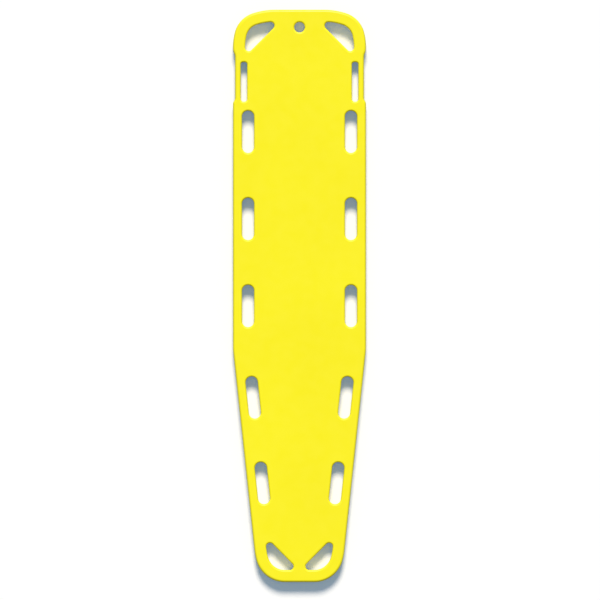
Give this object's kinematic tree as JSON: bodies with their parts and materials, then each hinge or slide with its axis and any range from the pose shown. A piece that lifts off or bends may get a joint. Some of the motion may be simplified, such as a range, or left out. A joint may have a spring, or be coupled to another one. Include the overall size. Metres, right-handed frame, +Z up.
{
  "type": "spine board",
  "caption": "Rigid moulded rescue board with a tapered foot end, hand holds through its rim, strap slots beside the head, a hang hole and two low skids underneath.",
  "frame": {"origin": "on the ground under the middle of the board, where its skids stand", "axes": "+Y towards the head end, along the board; +X across it to the right seen from above; +Z up, out of the deck"},
  "size_m": [0.4252, 1.8288, 0.0445],
  "materials": {
    "skin": "moulded polyethylene, satin, fine grain",
    "foam": "closed-cell polyurethane foam",
    "rod": "pultruded glass fibre, smooth",
    "plug": "welded polyethylene, satin"
  },
  "bodies": {
    "root": {"deck_shell": "skin", "base_shell": "skin", "foam_core": "foam", "stiffener_left_outer": "rod", "stiffener_left_inner": "rod", "stiffener_right_inner": "rod", "stiffener_right_outer": "rod", "fill_plug_head": "plug", "fill_plug_foot": "plug", "vent_plug_head": "plug", "vent_plug_foot": "plug"}
  },
  "joints": []
}
